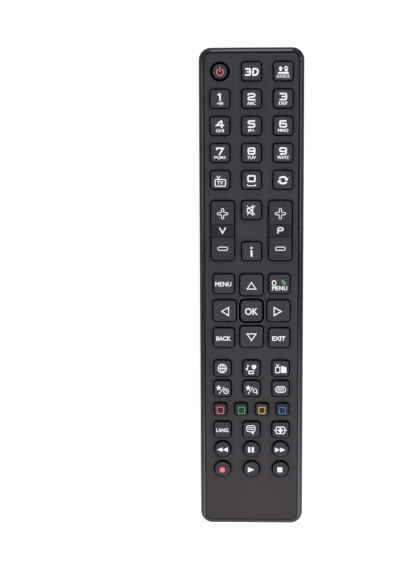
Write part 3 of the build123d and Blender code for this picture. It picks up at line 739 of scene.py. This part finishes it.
# Weights of the lines in the other legends
FINE = 0.46
BOLD = 0.8
legends = {
    "digit_0": outline(-1.9, 1.9, -1.0, 2.2, DIGIT_WEIGHT, 0.45)
    + stroke([(-1.85, -1.85), (-1.75, -2.6), (1.75, -2.6), (1.85, -1.85)], 0.42, 0.2),
    "television": outline(-2.5, 2.7, -3.0, 0.5, 0.48, 0.6)
    + stroke([(-1.5, 1.9), (-0.8, 0.7), (0.1, 1.9)], 0.4)
    + words("TV", 0.05, -1.25, 2.8, 1.8, 0.02),
    "three_d": stroke([(-2.7, 1.1), (-0.6, 1.1), (-0.6, -1.6), (-2.9, -1.6)], BOLD, 0.6)
    + stroke([(-2.2, -0.25), (-0.9, -0.25)], 0.7)
    + stroke(
        [(0.55, 1.1), (2.2, 1.1), (2.95, 0.3), (2.75, -0.9), (2.1, -1.6), (0.35, -1.6)], BOLD, 0.6
    )
    + stroke([(0.75, 0.9), (0.6, -1.4)], BOLD),
    "source": words("SOURCE", -0.1, -2.2, 5.8, 1.35, 0.02)
    + filled([(-2.3, 1.0), (-0.1, 1.0), (-1.2, 2.3)])
    + block(-1.7, -0.7, 0.1, 1.0)
    + block(-2.4, 2.4, -1.2, -0.35, 0.3)
    + ring(1.25, 1.35, 0.65, 0.45)
    + block(0.7, 1.9, -0.1, 0.5),
    "mute": stroke(
        [(-1.9, -0.9), (-0.9, -0.9), (0.5, -2.1), (0.5, 2.0), (-0.9, 0.8), (-1.9, 0.8)],
        FINE, 0, True,
    )
    + stroke([(-2.0, -2.1), (1.6, 2.1)], 0.36)
    + stroke([(-2.0, 2.1), (1.6, -2.1)], 0.36),
    "info": disc(0, 1.6, 0.5) + block(-0.43, 0.43, -2.45, 0.55, 0.1),
    "up": stroke([(-2.0, -1.85), (2.0, -1.85), (0, 1.2)], FINE, 0, True),
    "down": stroke([(-2.05, 1.35), (0, -1.75), (2.05, 1.35)], FINE, 0, True),
    "left": stroke([(1.8, -2.1), (1.8, 1.65), (-1.35, -0.22)], FINE, 0, True),
    "right": stroke([(-1.95, -2.1), (1.3, -0.22), (-1.95, 1.65)], FINE, 0, True),
    "ok": words("OK", 0, -0.25, 5.9, 3.25, 0.02),
    "menu": struck_twice("MENU", -0.2, -0.1, 7.2, 2.1),
    "tools": ring(-2.4, 0.45, 1.1, FINE, 0.75) + struck_twice("MENU", 0.15, -1.95, 6.7, 2.0),
    "back": words("BACK", -0.15, -0.3, 6.7, 2.1, 0.03),
    "exit": words("EXIT", -0.15, -0.3, 6.1, 2.1, 0.03),
    "network": ring(-0.1, 0, 1.95, 0.42) + ring(-0.1, 0, 1.9, 0.3, 0.5)
    + block(-1.9, 1.7, -0.17, 0.17)
    + block(-0.25, 0.05, -1.9, 1.9),
    "media": disc(-2.1, -0.3, 0.5)
    + stroke([(-1.8, -0.3), (-1.8, 1.5), (-0.9, 1.1)], 0.35)
    + disc(1.15, 0.8, 1.05)
    + block(0.85, 1.45, -0.7, -0.4)
    + outline(-1.5, 1.1, -2.6, -0.9, 0.5, 0.3),
    "recordings": outline(-2.5, -0.1, -2.1, 0.9, FINE, 0.3)
    + stroke([(-2.0, 2.1), (-1.4, 1.0), (-0.8, 2.1)], 0.35)
    + filled([(0.3, -2.0), (2.7, -2.0), (2.7, 0.7), (1.6, 0.7), (1.3, 1.2), (0.3, 1.2)]),
    "timer": star(-1.75, 0.4, 1.5)
    + stroke([(-1.6, -2.45), (0.9, 0.9)], 0.35)
    + ring(1.6, -1.2, 1.1, 0.4)
    + stroke([(1.6, -0.5), (1.6, -1.2), (2.1, -1.2)], 0.3),
    "search": star(-1.5, 0.4, 1.5)
    + stroke([(-1.6, -2.45), (0.7, 0.9)], 0.35)
    + ring(1.6, -0.9, 0.85, 0.4)
    + stroke([(2.15, -1.55), (2.85, -2.4)], 0.5),
    "teletext": outline(-2.4, 2.5, -1.85, 1.25, 0.42, 1.4)
    + block(-1.5, 1.5, 0.2, 0.5)
    + block(-1.5, 1.5, -0.45, -0.15)
    + block(-1.5, 1.5, -1.1, -0.8),
    "language": words("LANG.", 0, -0.15, 5.9, 1.8, 0.03),
    "subtitles": outline(-2.4, 1.85, -1.0, 2.2, 0.42, 1.0)
    + filled([(-0.2, -1.0), (1.1, -1.0), (0.9, -2.3)])
    + block(-1.6, 1.1, 0.85, 1.2)
    + block(-1.6, 1.1, 0.05, 0.4),
    "picture_size": outline(-2.2, 2.2, -1.9, 1.7, 0.45, 0.8)
    + star(0, -0.1, 1.5, 4, 0.55)
    + filled([(-3.0, -0.1), (-2.4, -0.6), (-2.4, 0.4)])
    + filled([(3.0, -0.1), (2.4, 0.4), (2.4, -0.6)]),
    "rewind": filled([(-2.6, -0.1), (-0.1, -1.2), (-0.1, 1.05)])
    + filled([(-0.1, -0.1), (2.4, -1.2), (2.4, 1.05)]),
    "forward": filled([(2.3, -0.1), (-0.1, 1.05), (-0.1, -1.2)])
    + filled([(-0.1, -0.1), (-2.5, 1.05), (-2.5, -1.2)]),
    "pause": block(-1.6, -0.5, -1.35, 1.2) + block(0.1, 1.15, -1.35, 1.2),
    "play": filled([(-1.7, -1.5), (1.35, -0.2), (-1.7, 1.1)]),
    "stop": block(-1.4, 0.95, -1.3, 1.1),
}
for name, shapes in legends.items():
    print_on(name, "white", shapes)


# The swap sign's arrows lie on a flattened ring. A head's corners are given by their distance
# from the ring's middle: the inner one, the outer one and the tip, which is a turn further on.
ARROW_RING = 1.8
ARROW_SQUASH = 0.82
ARROW_DOWN = 0.15
ARROW_WEIGHT = 0.86
HEAD_INNER = 0.55
HEAD_OUTER = 2.9
HEAD_TIP = 2.0
HEAD_TURN = -38


def squashed(points):
    return [(x, y * ARROW_SQUASH - ARROW_DOWN) for x, y in points]


def arrow_arc(start, end):
    """One of the two curved arrows that go round each other."""
    sweep = stroke(squashed(arc(0, 0, ARROW_RING, start, end)), ARROW_WEIGHT)
    base = math.radians(end)
    tip = math.radians(end + HEAD_TURN)
    corners = ((HEAD_INNER, base), (HEAD_OUTER, base), (HEAD_TIP, tip))
    head = [(reach * math.cos(angle), reach * math.sin(angle)) for reach, angle in corners]
    return sweep + filled(squashed(head))


print_on("swap", "white", arrow_arc(155, 30) + arrow_arc(335, 210))
power_sign = stroke(arc(0.05, -0.25, 1.5, 125, 415), FINE)
print_on("power", "pink", power_sign + stroke([(0.05, -0.2), (0.05, 1.9)], FINE))
print_on("tools", "leaf", filled([(0.7, 2.0), (2.2, 1.5), (3.1, -0.5), (1.5, -0.1)], 0.45))
print_on("record", "dot", disc(-0.2, -0.3, 1.3))
for name, x in (("red", -0.05), ("green", 0.2), ("yellow", 0.0), ("blue", -0.2)):
    print_on(name, name, outline(x - 1.6, x + 1.6, -2.1, 1.2, 0.32, 0.15))

# Rockers: a letter in the dip, an outlined plus and minus on the pads. An arm and the minus are
# given by half their sizes, a line by its weight and the radius of its corners.
PLUS_Y = 7.8
PLUS_LINE = (0.34, 0.5)
ARM = (0.5, 2.32)
MINUS_Y = -8.1
MINUS_LINE = (0.36, 0.8)
MINUS = (2.4, 0.9)
plus = []
for turn in range(4):
    for x, y in ((ARM[1], -ARM[0]), (ARM[1], ARM[0]), (ARM[0], ARM[0])):
        for _ in range(turn):
            x, y = -y, x
        plus.append((x, y + PLUS_Y))
signs = stroke(plus, *PLUS_LINE, closed=True)
signs += outline(-MINUS[0], MINUS[0], MINUS_Y - MINUS[1], MINUS_Y + MINUS[1], *MINUS_LINE)
rocker_letters = {
    "volume_rocker": stroke([(-1.5, 1.5), (-0.1, -1.1), (1.3, 1.5)], 0.58),
    "programme_rocker": stroke(
        [(-1.1, -1.3), (-1.1, 1.3), (1.2, 1.3), (1.2, 0.0), (-0.82, 0.0)], 0.55, 0.6
    ),
}
for name, letter in rocker_letters.items():
    print_on(name, "white", signs)
    letter_piece = print_on(name, "white", letter, top=DIP_Z * MM)
    letter_piece.name = name + "_letter"


# Floor and light, in metres. The floor glows more the further it is from the handset.
FLOOR_REACH = 3.0
FLOOR_DROP = 0.0002
FLOOR_GREY = srgb(240, 240, 240)
GLOW_REACH = (0.15, 0.9)
GLOW_STRENGTH = (0.6, 0.78)
WORLD_LIGHT = 0.25
LAMPS_AIM = Vector((0, 0, 0.01))
WHITE = (1, 1, 1, 1)


def seen_directly(tree):
    """1 for what the camera sees, also in a gloss or through a window."""
    path = add(tree, "ShaderNodeLightPath")
    seen = path.outputs["Is Camera Ray"]
    for ray in ("Is Glossy Ray", "Is Transmission Ray"):
        seen = maths(tree, "MAXIMUM", seen, path.outputs[ray])
    return seen


floor_mesh = bpy.data.meshes.new("floor")
corners = [(x * FLOOR_REACH, y * FLOOR_REACH, 0) for x, y in ((-1, -1), (1, -1), (1, 1), (-1, 1))]
floor_mesh.from_pydata(corners, [], [(0, 1, 2, 3)])
floor = bpy.data.objects.new("floor", floor_mesh)
floor.location.z = -FLOOR_DROP
scene.collection.objects.link(floor)
floor_look, tree, shader = blank("floor", {"Base Color": FLOOR_GREY, "Roughness": 0.9})
shader.inputs["Emission Color"].default_value = WHITE
far = vector_maths(tree, "LENGTH", position(tree), output="Value")
paleness = ranged(tree, far, *GLOW_REACH, *GLOW_STRENGTH)
glow = maths(tree, "MULTIPLY", seen_directly(tree), paleness)
tree.links.new(glow, shader.inputs["Emission Strength"])
floor_mesh.materials.append(floor_look)

world = bpy.data.worlds.new("studio")
scene.world = world
world.use_nodes = True
tree = world.node_tree
background = tree.nodes["Background"]
brightness = ranged(tree, seen_directly(tree), 0, 1, WORLD_LIGHT, 1.0)
tree.links.new(brightness, background.inputs["Strength"])
background.inputs["Color"].default_value = WHITE


def lamp(name, place, size, radiance):
    """A soft box aimed at the handset: its long side, its height and how bright it looks."""
    light = bpy.data.lights.new(name, "AREA")
    light.shape = "RECTANGLE"
    light.size, light.size_y = size
    light.energy = radiance * math.pi * size[0] * size[1]
    holder = bpy.data.objects.new(name, light)
    holder.location = place
    holder.rotation_euler = (LAMPS_AIM - Vector(place)).to_track_quat("-Z", "Y").to_euler()
    scene.collection.objects.link(holder)


lamp("overhead", (-0.3, 0.1, 1.0), (0.7, 0.7), 0.4)
lamp("fill", (0.3, -0.55, 0.55), (0.5, 0.5), 0.7)
lamp("left_high", (-0.46, 0.06, 0.37), (0.2, 0.03), 25.0)
lamp("left_low", (-0.38, -0.33, 0.34), (0.2, 0.42), 3.0)
lamp("right_high", (0.42, 0.1, 0.34), (0.3, 0.03), 24.0)
lamp("right_low", (0.36, -0.28, 0.36), (0.26, 0.42), 3.1)
lamp("top_edge", (0.0, 0.55, 0.28), (0.12, 0.34), 7.0)
